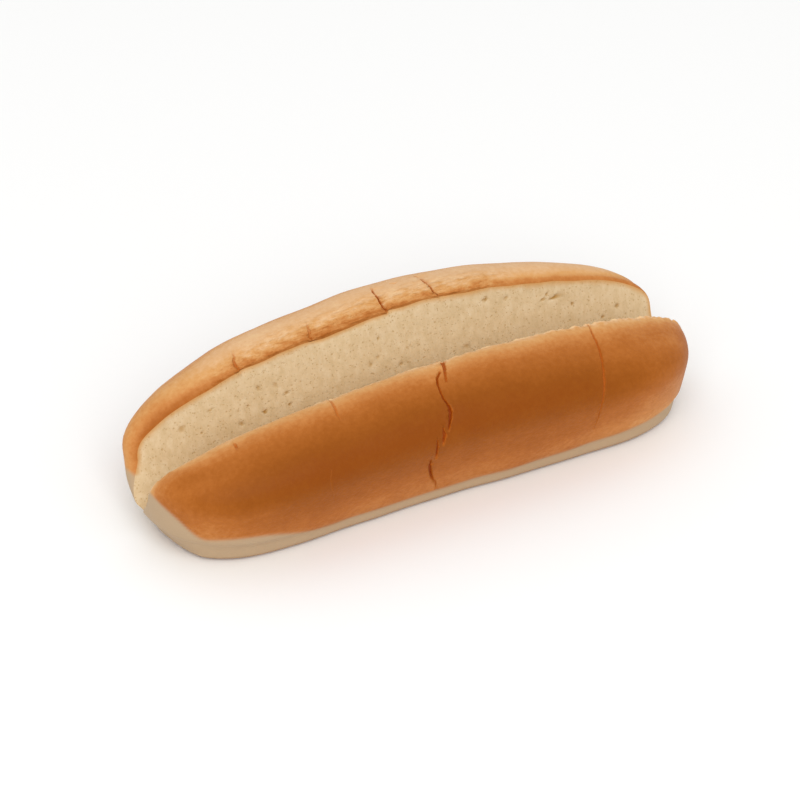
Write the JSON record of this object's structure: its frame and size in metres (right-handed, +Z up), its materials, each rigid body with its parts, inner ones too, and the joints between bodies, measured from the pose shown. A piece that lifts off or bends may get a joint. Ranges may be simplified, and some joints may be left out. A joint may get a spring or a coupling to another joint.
{
  "type": "bread roll",
  "caption": "Soft white finger roll, cut lengthwise from the top nearly to its base and opened, with a browned crust and pale crumb.",
  "frame": {"origin": "on the resting surface, under the middle of the roll's box", "axes": "+X along the roll, +Y from the front half to the rear half, +Z up out of the cut"},
  "size_m": [0.16, 0.0608, 0.0421],
  "materials": {
    "bread": "satin"
  },
  "bodies": {
    "root": {"roll": "bread"}
  },
  "joints": []
}
